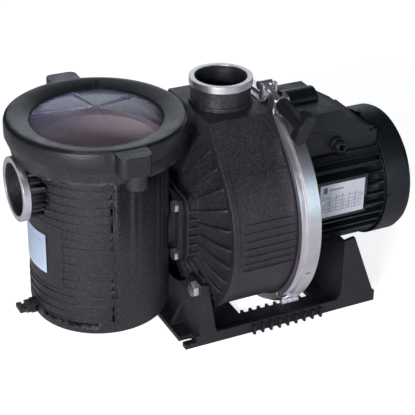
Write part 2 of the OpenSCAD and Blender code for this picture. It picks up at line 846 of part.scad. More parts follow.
module motor_adapter() {
  color(black) on_shaft() difference() {
    xturn([[adapter_x0, 0], [adapter_x0, 58], [adapter_x0 + 4, 60], [frame_x0 - 7, motor_r - 2],
      [frame_x0, motor_r - 2], [frame_x0, 0]]);
    xcyl(adapter_x0 - 1, frame_x0 + 1, shaft_r + 3);
    xcyl(front_bearing_x, frame_x0 + 1, bearing_r);
    xring(adapter_x0 - 1, frame_x0 - 5, 42, bearing_r + 5);
    for (a = [45:90:315]) rotate([a, 0, 0]) translate([adapter_x0 - 1, 0, 48])
      rotate([0, 90, 0]) cylinder(h = 11, r = 4.05);
    for (a = rod_angles) rotate([a, 0, 0]) translate([frame_x0 - 10, 0, rod_at])
      rotate([0, 90, 0]) cylinder(h = 12, r = rod_r + 0.1);
  }
}
rod_angles = [45, 135, 225, 315];
rod_r = 2.5;
rod_at = motor_d / 2 - 5;

module adapter_screws() {
  color(steel) on_shaft() for (a = [45:90:315]) rotate([a, 0, 0])
    translate([plate_x0, 0, 48]) rotate([0, -90, 0]) pan_screw(4, 20, 7, 5);
}

// Finned housing of the motor
module motor_frame() {
  color("#232228") on_shaft() difference() {
    union() {
      xcyl(frame_x0, frame_x1, body_r);
      difference() {
        for (i = [0:fin_n - 1]) rotate([360 * (i + 0.5) / fin_n, 0, 0])
          translate([frame_x0, -1.1, body_r - 2])
            cube([frame_x1 - frame_x0, 2.2, motor_r - body_r + 2]);
        translate([box_x0 - 1, -box_hw - 1, 30]) cube([frame_x1, 2 * box_hw + 2, motor_d]);
        translate([frame_x0 + 14, -motor_r - 2, -14]) cube([plate_w + 8, 12, plate_h + 8]);
      }
      for (a = rod_angles) rotate([a, 0, 0])
        translate([frame_x0, -5, body_r - 3]) cube([frame_x1 - frame_x0, 10, motor_r - body_r + 2.8]);
      translate([frame_x0 + 14, -plate_y, -14]) cube([plate_w + 8, 30, plate_h + 8]);
    }
    xcyl(frame_x0 - 1, frame_x1 + 1, bore_r);
    for (a = rod_angles) rotate([a, 0, 0]) translate([frame_x0 - 1, 0, rod_at])
      rotate([0, 90, 0]) cylinder(h = frame_x1 - frame_x0 + 2, r = rod_r + 0.1);
  }
}

module stator_core() {
  color("#6d6f73") on_shaft() difference() {
    xcyl(98, 152, bore_r - 0.02);
    xcyl(97, 153, 33);
    for (i = [0:23]) rotate([15 * i, 0, 0]) translate([97, -1.6, 32]) cube([56, 3.2, 15]);
  }
}

// Winding ends on both sides of the core
module stator_windings() {
  color("#a4552c") on_shaft() {
    xturn([[84, 38], [84, 50], [87, 53], [97.9, 53], [97.9, 36], [87, 36]]);
    xturn([[152.1, 36], [152.1, 53], [160, 53], [163, 50], [163, 38], [160, 36]]);
  }
}

// Ball bearing: two races and nine balls
module bearing(x0) {
  mid_r = (bearing_r + shaft_r) / 2;
  race = 2.6;
  on_shaft() union() {
    xring(x0, x0 + bearing_w, bearing_r - 0.02, bearing_r - race - 0.6);
    xring(x0 + 1, x0 + bearing_w - 1, bearing_r - race, shaft_r + race);
    xring(x0, x0 + bearing_w, shaft_r + race + 0.6, shaft_r + run);
    for (i = [0:8]) rotate([40 * i, 0, 0]) translate([x0 + bearing_w / 2, 0, mid_r])
      sphere(r = 1.2, $fn = 24);
  }
}

module front_bearing() {
  color("#c8cacc") bearing(front_bearing_x);
}

module rear_bearing() {
  color("#c8cacc") bearing(rear_bearing_x);
}

module wave_washer() {
  color(steel) on_shaft() xring(rear_bearing_x + bearing_w + 0.1, rear_bearing_x + bearing_w + 1,
    bearing_r - 1, bearing_r - 4);
}

module rear_shield() {
  color("#232228") on_shaft() difference() {
    union() {
      xcyl(frame_x1, shield_x1, motor_r - 1);
      xcyl(rear_bearing_x - 1, frame_x1 + 1, bearing_r + 5);
      xcyl(frame_x1 - 4, frame_x1 + 1, bore_r - 0.1);
    }
    xcyl(rear_bearing_x - 2, rear_bearing_x + bearing_w + 1, bearing_r);
    xcyl(rear_bearing_x, shield_x1 + 1, shaft_r + 1.5);
    xring(frame_x1 - 5, frame_x1, bore_r - 8, bearing_r + 5);
    for (a = rod_angles) rotate([a, 0, 0]) translate([frame_x1 - 1, 0, rod_at])
      rotate([0, 90, 0]) cylinder(h = shield_x1 - frame_x1 + 2, r = rod_r + 0.1);
    for (a = [0:90:270]) rotate([a, 0, 0]) translate([frame_x1 + 3, 0, motor_r - 7])
      cylinder(h = 9, r = 1.9);
  }
}

// Through rods that pull both shields onto the frame
module tie_rods() {
  color(steel) on_shaft() for (a = rod_angles) rotate([a, 0, 0])
    translate([shield_x1, 0, rod_at]) rotate([0, 90, 0])
      hex_bolt(rod_r, shield_x1 - frame_x0 + 8, 8, 3.5);
}

// Cover with an open front and a grille of rings and spokes at the back
module fan_cover() {
  wall = 1.6;
  color("#26262e") on_shaft() difference() {
    union() {
      xturn([[cover_x0, cover_r - wall], [cover_x0, cover_r], [cover_x1 - 7, cover_r],
        [cover_x1 - 2.5, cover_r - 2], [cover_x1, cover_r - 7], [cover_x1, 58],
        [cover_x1 - wall, 58], [cover_x1 - wall, cover_r - 8], [cover_x1 - 4, cover_r - 4],
        [cover_x1 - 8, cover_r - wall]]);
      for (r = [12:8:52]) xring(cover_x1 - wall, cover_x1, r + 3, r);
      xcyl(cover_x1 - wall, cover_x1, 7);
      for (i = [0:7]) rotate([45 * i, 0, 0]) translate([cover_x1 - wall, -2, 5])
        cube([wall, 4, 56]);
    }
    for (a = [0:90:270]) rotate([a, 0, 0]) translate([shield_x1 - 3, 0, cover_r - 9])
      cylinder(h = 12, r = 2.1);
  }
}

module cover_screws() {
  color(steel) on_shaft() for (a = [0:90:270]) rotate([a, 0, 0])
    translate([shield_x1 - 3, 0, cover_r + 0.1]) pan_screw(1.8, 9, 2.9, 1.6);
}

// Height of the sloping joint between the box and its lid
function joint_z(x) = box_zl + (box_zr - box_zl) * (x - box_x0) / (box_x1 - box_x0);

// Side outline pushed across the motor, centred on it
module across(half_w) {
  translate([0, half_w, 0]) rotate([90, 0, 0]) linear_extrude(height = 2 * half_w) children();
}

// Room inside the box, with the four screw corners left solid
module box_room(z0, z1) {
  c = 2 * corner_x + 1;
  translate([box_x0 + c, box_wall - box_hw, z0])
    cube([box_x1 - box_x0 - 2 * c, 2 * (box_hw - box_wall), z1 - z0]);
  translate([box_x0 + box_wall, 8 - corner_y, z0])
    cube([box_x1 - box_x0 - 2 * box_wall, 2 * corner_y - 16, z1 - z0]);
}

// Run the children at the four screw places
module corners(lift) {
  for (x = [box_x0 + corner_x, box_x1 - corner_x], y = [-corner_y, corner_y])
    translate([x, y, joint_z(x) + lift]) children();
}

// Box on top of the motor
module terminal_box() {
  color("#1f1f24") difference() {
    across(box_hw) polygon([[box_x0, shaft_h + 44], [box_x0, box_zl], [box_x1, box_zr],
      [box_x1, shaft_h + 44]]);
    box_room(shaft_h + 60, box_zl + 1);
    on_shaft() xcyl(box_x0 - 1, box_x1 + 1, body_r);
    on_shaft() for (a = [45, -45]) rotate([a, 0, 0])
      translate([box_x0 - 1, -5.1, 0]) cube([box_x1 - box_x0 + 2, 10.2, motor_r + 0.1]);
    translate([gland_x, -box_hw - 1, gland_z]) rotate([-90, 0, 0]) cylinder(h = 6, r = 6.4);
    corners(-8) cylinder(h = 12, r = 2.05);
  }
}

module terminal_gasket() {
  color("#101010") difference() {
    across(box_hw) polygon([[box_x0, box_zl], [box_x0, box_zl + box_pad],
      [box_x1, box_zr + box_pad], [box_x1, box_zr]]);
    box_room(box_zr - 1, box_zl + 2 * box_pad);
    corners(-4) cylinder(h = 12, r = 2.2);
  }
}

// Sloping lid with the round housing of the run capacitor
module terminal_lid() {
  color("#1f1f24") difference() {
    union() {
      across(box_hw) polygon([[box_x0, box_zl + box_pad], [box_x0, lid_top_z],
        [132, lid_top_z], [143, lid_top_z - 10], [box_x1, box_zr + box_pad + 4],
        [box_x1, box_zr + box_pad]]);
      translate([box_x0 - 2, cap_y, cap_z]) rotate([0, 90, 0]) cylinder(h = 42, r = cap_r + 2.5);
    }
    intersection() {
      box_room(box_zr - 1, lid_top_z);
      across(box_hw) polygon([[box_x0, box_zr - 2], [box_x0, lid_top_z - box_wall],
        [130.8, lid_top_z - box_wall], [141.4, lid_top_z - 12.6],
        [box_x1 - box_wall, box_zr + box_pad + 2.4], [box_x1 - box_wall, box_zr - 2]]);
    }
    translate([box_x0, cap_y, cap_z]) rotate([0, 90, 0]) cylinder(h = 38, r = cap_r + 0.3);
    across(box_hw + 1) polygon([[box_x0 - 3, box_zr - 20], [box_x0 - 3, joint_z(box_x0 - 3) + box_pad],
      [box_x1 + 1, joint_z(box_x1 + 1) + box_pad], [box_x1 + 1, box_zr - 20]]);
    corners(-1) cylinder(h = 8, r = 2.2);
    for (s = [-1, 1]) corners(box_pad + 3) {
      cylinder(h = 40, r = 4.6);
      translate([-4.6, s > 0 ? 0 : -9, 0]) cube([9.2, 9, 40]);
    }
  }
}
cap_r = 13;
cap_y = 6;
cap_z = shaft_h + 105;

module capacitor() {
  color("#d9d9d6") translate([box_x0 + 0.5, cap_y, cap_z]) rotate([0, 90, 0])
    cylinder(h = 37, r = cap_r);
}

module terminal_screws() {
  color(steel) corners(box_pad + 3) pan_screw(2, 11, 3.3, 2.4);
}

module terminal_block() {
  color("#8d8d70") difference() {
    translate([box_x0 + 56, -22, shaft_h + body_r + 0.5]) cube([24, 44, 8]);
    for (i = [-1, 0, 1]) translate([box_x0 + 68, 14 * i, shaft_h + body_r + 4])
      cylinder(h = 10, r = 3);
  }
}

// Gland for the supply cable
module cable_gland() {
  color("#26262b") translate([gland_x, -box_hw, gland_z]) rotate([90, 0, 0]) difference() {
    union() {
      translate([0, 0, -3]) cylinder(h = 4, r = 6.3);
      hex(16, 5);
      translate([0, 0, 5]) cylinder(h = 8, r = 7);
      translate([0, 0, 12]) cylinder(h = 3, r = 6);
    }
    translate([0, 0, -4]) cylinder(h = 30, r = 4);
  }
}

module nameplate() {
  color("#d7dae2") on_shaft() difference() {
    translate([frame_x0 + 18, -plate_y - 0.6, -10]) cube([plate_w, 0.6, plate_h]);
    for (x = [4, plate_w - 4]) translate([frame_x0 + 18 + x, -plate_y + 1, plate_h / 2 - 10])
      rotate([90, 0, 0]) cylinder(h = 4, r = 1.3);
  }
}

module nameplate_rivets() {
  color(steel) on_shaft() for (x = [4, plate_w - 4])
    translate([frame_x0 + 18 + x, -plate_y, plate_h / 2 - 10]) rotate([90, 0, 0]) {
      union() {
        cylinder(h = 0.8, r = 1.25);
        translate([0, 0, 0.6]) cylinder(h = 0.7, r = 2.2);
      }
    }
}

module shaft() {
  color("#9a9ca0") on_shaft() difference() {
    union() {
      xcyl(impeller_x0 + 2, 36, tip_r);
      xcyl(36, front_bearing_x - 1, shaft_r - 1.5);
      xcyl(front_bearing_x - 1, rear_bearing_x + bearing_w, shaft_r);
      xcyl(rear_bearing_x + bearing_w, 212, shaft_r - 2);
    }
    translate([195, -1.55, shaft_r - 4]) cube([11, 3.1, 5]);
  }
}

module rotor() {
  color("#77797d") on_shaft() {
    difference() {
      union() {
        xcyl(98, 152, 32.5);
        xring(92, 158, 30, 20);
      }
      xcyl(91, 159, shaft_r);
    }
  }
}

// Closed impeller with curved vanes
module impeller() {
  color("#4a4a50") on_shaft() difference() {
    union() {
      xcyl(impeller_x1 - 3, impeller_x1, impeller_r);
      xcyl(impeller_x0 + 12, impeller_x1 + 10, 12);
      xturn([[impeller_x0 + 1, 20.5], [impeller_x0 + 1, 24], [impeller_x0 + 8, 26],
        [impeller_x0 + 8, impeller_r], [impeller_x0 + 11, impeller_r],
        [impeller_x0 + 11, 23], [impeller_x0 + 4, 20.5]]);
      for (i = [0:5]) rotate([60 * i, 0, 0]) vane();
    }
    xcyl(impeller_x0 - 1, impeller_x1 + 11, tip_r);
    xcyl(impeller_x0 - 1, impeller_x0 + 12, 11);
  }
}

// Backward-swept vane as an arc
module vane() {
  sweep = impeller_r * 0.62;
  intersection() {
    translate([impeller_x0 + 9, sweep * 0.75, sweep * 0.75]) xring(0, 12, sweep, sweep - 2.4);
    translate([impeller_x0, 0, 0]) cube([30, impeller_r, impeller_r * 0.92]);
    xcyl(impeller_x0, impeller_x1, impeller_r - 1);
  }
}

// Cap nut that holds the impeller
module impeller_nut() {
  color("#b08a4a") on_shaft() translate([impeller_x0 + 12, 0, 0]) rotate([0, -90, 0]) difference() {
    union() {
      hex(17, 9);
      cylinder(h = 15, r = 7);
    }
    translate([0, 0, -1]) cylinder(h = 12, r = tip_r);
  }
}

// Turning half of the shaft seal
module seal_head() {
  color("#2c2c30") on_shaft() xring(36.5, plate_x0 + 1 - 0.3, 14, shaft_r - 1.5);
}

module slinger() {
  color("#141414") on_shaft() xring(adapter_x0 - 5, adapter_x0 - 1, shaft_r + 3, shaft_r - 1.5);
}

// Radial fan on the tail of the shaft
module fan() {
  color("#2e3a46") on_shaft() difference() {
    union() {
      xcyl(193, 209, 15);
      xcyl(193, 195.5, 60);
      for (i = [0:8]) rotate([40 * i, 0, 0]) translate([194, -1, 12]) cube([15, 2, 47]);
    }
    xcyl(192, 210, shaft_r - 2);
    translate([192, -1.55, 0]) cube([18, 3.1, shaft_r]);
  }
}

module fan_key() {
  color(steel) on_shaft() translate([195.2, -1.5, shaft_r - 4]) cube([10.6, 3, 3.8]);
}

base();
base_bolts();
strainer_pot();
suction_ring();
pot_gasket();
pot_bolts();
tank_body();
discharge_ring();
diffuser();
seal_plate();
seal_plate_oring();
seal_seat();
clamp_rear();
clamp_bottom();
clamp_pins();
clamp_tbolt();
motor_adapter();
adapter_screws();
motor_frame();
stator_core();
stator_windings();
front_bearing();
rear_bearing();
wave_washer();
rear_shield();
tie_rods();
fan_cover();
cover_screws();
motor_pad();
terminal_box();
terminal_gasket();
terminal_lid();
terminal_screws();
terminal_block();
capacitor();
cable_gland();
nameplate();
nameplate_rivets();
pot_label();
lid_oring();
shaft();
rotor();
impeller();
impeller_nut();
seal_head();
slinger();
fan();
fan_key();
clamp_front();
knob_washer();
clamp_knob();
basket();
lid();
lock_ring();
drain_oring();
drain_plug();
tank_drain_oring();
tank_drain_plug();
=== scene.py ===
import json
import math

import bmesh
import bpy
from mathutils import Matrix, Vector


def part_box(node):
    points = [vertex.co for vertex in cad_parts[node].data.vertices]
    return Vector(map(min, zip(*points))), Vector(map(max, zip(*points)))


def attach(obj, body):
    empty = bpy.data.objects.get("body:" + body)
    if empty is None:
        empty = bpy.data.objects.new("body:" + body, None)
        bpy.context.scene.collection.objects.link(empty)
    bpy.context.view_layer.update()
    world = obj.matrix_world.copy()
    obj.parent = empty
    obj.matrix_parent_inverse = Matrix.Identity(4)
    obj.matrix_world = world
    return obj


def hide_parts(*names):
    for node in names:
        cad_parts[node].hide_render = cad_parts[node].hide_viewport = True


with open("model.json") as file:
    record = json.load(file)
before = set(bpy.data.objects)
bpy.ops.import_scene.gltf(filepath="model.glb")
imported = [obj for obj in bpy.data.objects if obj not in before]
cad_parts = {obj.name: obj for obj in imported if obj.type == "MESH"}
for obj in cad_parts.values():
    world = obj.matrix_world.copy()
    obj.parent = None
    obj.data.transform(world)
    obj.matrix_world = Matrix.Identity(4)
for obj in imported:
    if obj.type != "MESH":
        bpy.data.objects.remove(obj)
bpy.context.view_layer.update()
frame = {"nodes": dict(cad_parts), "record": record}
nodes = frame["nodes"]
mm = 0.001

cameraPlan = {
    "azimuth": -26.78,     # degrees round the pump, 0 looks along +Y
    "elevation": 28.86,
    "roll": 1.16,
    "lens": 114.0,         # mm on a 36 mm sensor
    "distance": 1.5385,    # metres from the aim point
    "aim": (-0.0134, 0.0, 0.1326),
}

lightPlan = {
    "key": {"at": (-1.35, -1.45, 0.70), "aim": (-0.08, 0, 0.14), "size": (0.45, 0.6), "watts": 33,
            "tint": (1.0, 0.94, 0.98)},
    "fill": {"at": (0.9, -1.6, 0.55), "aim": (0.10, 0, 0.14), "size": (0.5, 0.9), "watts": 4,
             "tint": (0.72, 0.92, 1.0)},
    "top": {"at": (-0.35, -0.35, 1.6), "aim": (-0.15, 0.02, 0.2), "size": (0.16, 0.16), "watts": 3.0,
            "tint": (1.0, 0.94, 0.97)},
    "back": {"at": (0.6, 1.5, 0.7), "aim": (0.0, 0, 0.15), "size": (1.0, 0.8), "watts": 4,
             "tint": (0.85, 0.92, 1.0)},
}

studioPlan = {
    "floorSize": 14.0,
    "floorTint": (0.93, 0.93, 0.95),
    "floorGlow": 0.80,     # brightness of the floor as the camera sees it
    "floorFill": 0.10,     # light it throws back on the pump
    "roomGlow": 0.032,
}


def makeCamera(plan):
    a = math.radians(plan["azimuth"])
    e = math.radians(plan["elevation"])
    r = math.radians(plan["roll"])
    back = Vector((math.sin(a) * math.cos(e), -math.cos(a) * math.cos(e), math.sin(e)))
    side = Vector((math.cos(a), math.sin(a), 0))
    up = back.cross(side)
    right = side * math.cos(r) + up * math.sin(r)
    above = up * math.cos(r) - side * math.sin(r)
    data = bpy.data.cameras.new("camera")
    data.sensor_width = 36.0
    data.lens = plan["lens"]
    data.clip_start = 0.05
    data.clip_end = 60.0
    camera = bpy.data.objects.new("camera", data)
    bpy.context.scene.collection.objects.link(camera)
    turn = Matrix((right, above, back)).transposed()
    place = Vector(plan["aim"]) + back * plan["distance"]
    camera.matrix_world = Matrix.Translation(place) @ turn.to_4x4()
    bpy.context.scene.camera = camera


def makeLight(name, plan):
    data = bpy.data.lights.new(name + "_light", "AREA")
    data.shape = "RECTANGLE"
    data.size, data.size_y = plan["size"]
    data.energy = plan["watts"]
    data.color = plan["tint"]
    lamp = bpy.data.objects.new(name + "_light", data)
    bpy.context.scene.collection.objects.link(lamp)
    lamp.location = plan["at"]
    toward = Vector(plan["aim"]) - Vector(plan["at"])
    lamp.rotation_euler = toward.to_track_quat("-Z", "Y").to_euler()


def makeRoom(plan):
    world = bpy.data.worlds.new("studio")
    bpy.context.scene.world = world
    world.use_nodes = True
    tree = world.node_tree
    tree.nodes.clear()
    out = tree.nodes.new("ShaderNodeOutputWorld")
    mix = tree.nodes.new("ShaderNodeMixShader")
    seen = tree.nodes.new("ShaderNodeBackground")
    felt = tree.nodes.new("ShaderNodeBackground")
    path = tree.nodes.new("ShaderNodeLightPath")
    seen.inputs["Color"].default_value = (1, 1, 1, 1)
    seen.inputs["Strength"].default_value = 1.0
    felt.inputs["Color"].default_value = (0.80, 0.88, 1.0, 1)
    felt.inputs["Strength"].default_value = plan["roomGlow"]
    tree.links.new(path.outputs["Is Camera Ray"], mix.inputs["Fac"])
    tree.links.new(felt.outputs[0], mix.inputs[1])
    tree.links.new(seen.outputs[0], mix.inputs[2])
    tree.links.new(mix.outputs[0], out.inputs["Surface"])


def makeFloor(plan):
    half = plan["floorSize"] / 2
    mesh = bpy.data.meshes.new("floor")
    corners = [(-half, -half, 0), (half, -half, 0), (half, half, 0), (-half, half, 0)]
    mesh.from_pydata(corners, [], [(0, 1, 2, 3)])
    floor = bpy.data.objects.new("floor", mesh)
    bpy.context.scene.collection.objects.link(floor)
    paper = newMaterial("studio_paper")
    shader = paper["shader"]
    speck = noise(paper, 260, 3)
    colour = twoTone(paper, speck, plan["floorTint"], tuple(c * 0.985 for c in plan["floorTint"]))
    paper["links"].new(colour, shader.inputs["Base Color"])
    shader.inputs["Roughness"].default_value = 0.9
    shader.inputs["Specular IOR Level"].default_value = 0.1
    shader.inputs["Emission Color"].default_value = (1, 1, 1, 1)
    path = paper["tree"].nodes.new("ShaderNodeLightPath")
    glow = ramp(paper, path.outputs["Is Camera Ray"], 0, 1, plan["floorFill"], plan["floorGlow"])
    paper["links"].new(glow, shader.inputs["Emission Strength"])
    mesh.materials.append(paper["material"])


def newMaterial(name):
    material = bpy.data.materials.new(name)
    material.use_nodes = True
    tree = material.node_tree
    tree.nodes.clear()
    out = tree.nodes.new("ShaderNodeOutputMaterial")
    shader = tree.nodes.new("ShaderNodeBsdfPrincipled")
    place = tree.nodes.new("ShaderNodeTexCoord")
    tree.links.new(shader.outputs[0], out.inputs["Surface"])
    return {"material": material, "tree": tree, "links": tree.links, "shader": shader,
            "place": place.outputs["Object"]}


def mapped(m, scale):
    node = m["tree"].nodes.new("ShaderNodeMapping")
    node.inputs["Scale"].default_value = scale
    m["links"].new(m["place"], node.inputs["Vector"])
    return node.outputs[0]


def noise(m, scale, detail=4, rough=0.55, place=None):
    node = m["tree"].nodes.new("ShaderNodeTexNoise")
    node.inputs["Scale"].default_value = scale
    node.inputs["Detail"].default_value = detail
    node.inputs["Roughness"].default_value = rough
    m["links"].new(place or m["place"], node.inputs["Vector"])
    return node.outputs["Fac"]


def ramp(m, value, low, high, lowOut=0.0, highOut=1.0):
    node = m["tree"].nodes.new("ShaderNodeMapRange")
    node.inputs["From Min"].default_value = low
    node.inputs["From Max"].default_value = high
    node.inputs["To Min"].default_value = lowOut
    node.inputs["To Max"].default_value = highOut
    m["links"].new(value, node.inputs["Value"])
    return node.outputs[0]


def sums(m, kind, a, b=0.0):
    node = m["tree"].nodes.new("ShaderNodeMath")
    node.operation = kind
    for socket, value in zip(node.inputs, (a, b)):
        if isinstance(value, (int, float)):
            socket.default_value = value
        else:
            m["links"].new(value, socket)
    return node.outputs[0]


def twoTone(m, value, first, second):
    node = m["tree"].nodes.new("ShaderNodeMix")
    node.data_type = "RGBA"
    node.inputs["A"].default_value = (*first, 1)
    node.inputs["B"].default_value = (*second, 1)
    m["links"].new(value, node.inputs["Factor"])
    return node.outputs["Result"]


def overlay(m, value, under, colour):
    node = m["tree"].nodes.new("ShaderNodeMix")
    node.data_type = "RGBA"
    node.inputs["B"].default_value = (*colour, 1)
    m["links"].new(under, node.inputs["A"])
    m["links"].new(value, node.inputs["Factor"])
    return node.outputs["Result"]


def bump(m, height, strength, depth, under=None):
    node = m["tree"].nodes.new("ShaderNodeBump")
    node.inputs["Strength"].default_value = strength
    node.inputs["Distance"].default_value = depth
    m["links"].new(height, node.inputs["Height"])
    if under is not None:
        m["links"].new(under, node.inputs["Normal"])
    return node.outputs["Normal"]


def worn(m, amount=1.0, radius=0.0012):
    soft = m["tree"].nodes.new("ShaderNodeBevel")
    soft.samples = 4
    soft.inputs["Radius"].default_value = radius
    hard = m["tree"].nodes.new("ShaderNodeNewGeometry")
    dot = m["tree"].nodes.new("ShaderNodeVectorMath")
    dot.operation = "DOT_PRODUCT"
    m["links"].new(soft.outputs[0], dot.inputs[0])
    m["links"].new(hard.outputs["Normal"], dot.inputs[1])
    edge = ramp(m, dot.outputs["Value"], 0.998, 0.86, 0.0, amount)
    scuff = ramp(m, noise(m, 210, 3), 0.40, 0.66)
    return sums(m, "MULTIPLY", edge, scuff), soft.outputs[0]


def moulded(name, colour, lift, rough, grain=0.14, scale=1500, wear=0.5, pebbleReliefAndPaintedLight=0.0):
    m = newMaterial(name)
    cloud = ramp(m, noise(m, 22, 4), 0.30, 0.72)
    base = twoTone(m, cloud, colour, tuple(c * lift for c in colour))
    pebble = noise(m, 430, 3, 0.65)
    # painted highlight on the pebble grain's peaks and painted shade in its pits, following the same noise
    # as the coarse bump
    if pebbleReliefAndPaintedLight:
        paintedGrainHighlight = sums(m, "MULTIPLY", ramp(m, pebble, 0.50, 0.68), pebbleReliefAndPaintedLight)
        base = overlay(m, paintedGrainHighlight, base, tuple(c * 3.4 + 0.02 for c in colour))
        paintedGrainShade = sums(m, "MULTIPLY", ramp(m, pebble, 0.46, 0.34), pebbleReliefAndPaintedLight)
        base = overlay(m, paintedGrainShade, base, tuple(c * 0.25 for c in colour))
    edge, soft = worn(m, wear)
    base = overlay(m, edge, base, tuple(min(1, c * 3.2 + 0.03) for c in colour))
    dust = sums(m, "MULTIPLY", ramp(m, noise(m, 85, 5, 0.7), 0.56, 0.80), 0.16)
    base = overlay(m, dust, base, tuple(c * 2.2 + 0.006 for c in colour))
    m["links"].new(base, m["shader"].inputs["Base Color"])
    gloss = ramp(m, noise(m, 60, 4), 0.3, 0.7, rough - 0.07, rough + 0.08)
    m["links"].new(gloss, m["shader"].inputs["Roughness"])
    wave = bump(m, noise(m, 34, 2), 0.10, 0.0012, soft)
    coarse = bump(m, pebble, min(1.0, 1.4 * pebbleReliefAndPaintedLight), 0.0010, wave)
    m["links"].new(bump(m, noise(m, scale, 2), grain, 0.0004, coarse), m["shader"].inputs["Normal"])
    m["shader"].inputs["Specular IOR Level"].default_value = 0.5
    return m["material"]


def metal(name, colour, rough, stretch=(1, 1, 1), scale=420, brush=0.10, tarnish=0.2):
    m = newMaterial(name)
    m["shader"].inputs["Metallic"].default_value = 1.0
    lines = noise(m, scale, 3, 0.6, mapped(m, stretch))
    cloud = ramp(m, noise(m, 30, 4), 0.35, 0.70)
    base = twoTone(m, cloud, colour, tuple(c * 0.82 for c in colour))
    spots = sums(m, "MULTIPLY", ramp(m, noise(m, 130, 5, 0.7), 0.58, 0.78), tarnish)
    base = overlay(m, spots, base, tuple(c * 0.45 for c in colour))
    m["links"].new(base, m["shader"].inputs["Base Color"])
    m["links"].new(ramp(m, lines, 0.3, 0.7, rough - 0.06, rough + 0.10), m["shader"].inputs["Roughness"])
    soft = worn(m, 0.3, 0.0006)[1]
    m["links"].new(bump(m, lines, brush, 0.0003, soft), m["shader"].inputs["Normal"])
    return m["material"]


def painted(name, colour, rough):
    m = newMaterial(name)
    cloud = ramp(m, noise(m, 26, 4), 0.3, 0.7)
    base = twoTone(m, cloud, colour, tuple(c * 1.45 for c in colour))
    edge, soft = worn(m, 0.55, 0.0009)
    base = overlay(m, edge, base, (0.07, 0.07, 0.08))
    m["links"].new(base, m["shader"].inputs["Base Color"])
    gloss = ramp(m, noise(m, 90, 4), 0.3, 0.7, rough - 0.06, rough + 0.1)
    m["links"].new(gloss, m["shader"].inputs["Roughness"])
    cast = bump(m, noise(m, 700, 3), 0.16, 0.0005, soft)
    m["links"].new(cast, m["shader"].inputs["Normal"])
    m["shader"].inputs["Coat Weight"].default_value = 0.25
    m["shader"].inputs["Coat Roughness"].default_value = 0.25
    return m["material"]


def rubbery(name, colour):
    m = newMaterial(name)
    base = twoTone(m, noise(m, 140, 4), colour, tuple(c * 1.9 for c in colour))
    m["links"].new(base, m["shader"].inputs["Base Color"])
    m["links"].new(ramp(m, noise(m, 300, 3), 0.3, 0.7, 0.62, 0.80), m["shader"].inputs["Roughness"])
    m["links"].new(bump(m, noise(m, 1200, 2), 0.2, 0.0003), m["shader"].inputs["Normal"])
    return m["material"]


def axisValue(m, axis):
    node = m["tree"].nodes.new("ShaderNodeSeparateXYZ")
    m["links"].new(m["place"], node.inputs[0])
    return node.outputs[axis]


# far and farAlpha set the painted reflection on the lid's far side; near and nearAlpha leave the near side
# nearly clear
lidPlan = {"near": (0.34, 0.28, 0.32), "far": (0.26, 0.28, 0.50), "rough": 0.13,
           "nearAlpha": 0.05, "farAlpha": 0.60, "edge": 0.03,   # edge keeps the fade off the rim, metres
           "coat": 0.05, "coatRough": 0.08}


def clearLid(plan):
    low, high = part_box("lid")
    m = newMaterial("lid_clear_moulding")
    m["material"].surface_render_method = "BLENDED"
    # the far side of the lid is painted bluer and more opaque as a painted reflection, with random
    # unevenness from the noise
    depth = ramp(m, axisValue(m, "Y"), low.y + plan["edge"], high.y - plan["edge"])
    farSideReflection = sums(m, "MULTIPLY", ramp(m, noise(m, 36, 4), 0.3, 0.75, 0.85, 1.15), depth)
    m["links"].new(twoTone(m, farSideReflection, plan["near"], plan["far"]), m["shader"].inputs["Base Color"])
    m["links"].new(ramp(m, farSideReflection, 0, 1, plan["nearAlpha"], plan["farAlpha"]), m["shader"].inputs["Alpha"])
    gloss = ramp(m, noise(m, 120, 4), 0.3, 0.7, plan["rough"] - 0.03, plan["rough"] + 0.06)
    m["links"].new(gloss, m["shader"].inputs["Roughness"])
    m["links"].new(bump(m, noise(m, 90, 2), 0.06, 0.0006), m["shader"].inputs["Normal"])
    m["shader"].inputs["Coat Weight"].default_value = plan["coat"]
    m["shader"].inputs["Coat Roughness"].default_value = plan["coatRough"]
    return m["material"]


def stripe(m, value, start, pitch, width):
    phase = sums(m, "FRACT", sums(m, "DIVIDE", sums(m, "SUBTRACT", value, start), pitch))
    return sums(m, "LESS_THAN", phase, width / pitch)


def inside(m, value, low, high):
    return sums(m, "MULTIPLY", sums(m, "GREATER_THAN", value, low), sums(m, "LESS_THAN", value, high))


def potLabelFilm():
    low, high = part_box("pot_label")
    m = newMaterial("label_film_printed")
    z = axisValue(m, "Z")
    y = axisValue(m, "Y")
    height = high.z - low.z
    fade = ramp(m, z, low.z, high.z)
    base = twoTone(m, fade, (0.62, 0.76, 0.90), (0.42, 0.54, 0.74))
    rows = stripe(m, z, low.z + 0.12 * height, 0.0031, 0.0007)
    rows = sums(m, "MULTIPLY", rows, inside(m, z, low.z + 0.12 * height, low.z + 0.66 * height))
    rows = sums(m, "MULTIPLY", rows, inside(m, y, low.y + 0.004, high.y - 0.005))
    base = overlay(m, sums(m, "MULTIPLY", rows, 0.45), base, (0.20, 0.30, 0.46))
    band = inside(m, z, low.z + 0.74 * height, low.z + 0.86 * height)
    band = sums(m, "MULTIPLY", band, inside(m, y, low.y + 0.006, low.y + 0.030))
    base = overlay(m, sums(m, "MULTIPLY", band, 0.35), base, (0.30, 0.40, 0.60))
    dust = sums(m, "MULTIPLY", ramp(m, noise(m, 120, 4), 0.5, 0.8), 0.25)
    base = overlay(m, dust, base, (0.36, 0.42, 0.52))
    m["links"].new(base, m["shader"].inputs["Base Color"])
    m["links"].new(ramp(m, noise(m, 70, 3), 0.3, 0.7, 0.28, 0.42), m["shader"].inputs["Roughness"])
    m["links"].new(bump(m, noise(m, 60, 2), 0.1, 0.0004), m["shader"].inputs["Normal"])
    return m["material"]


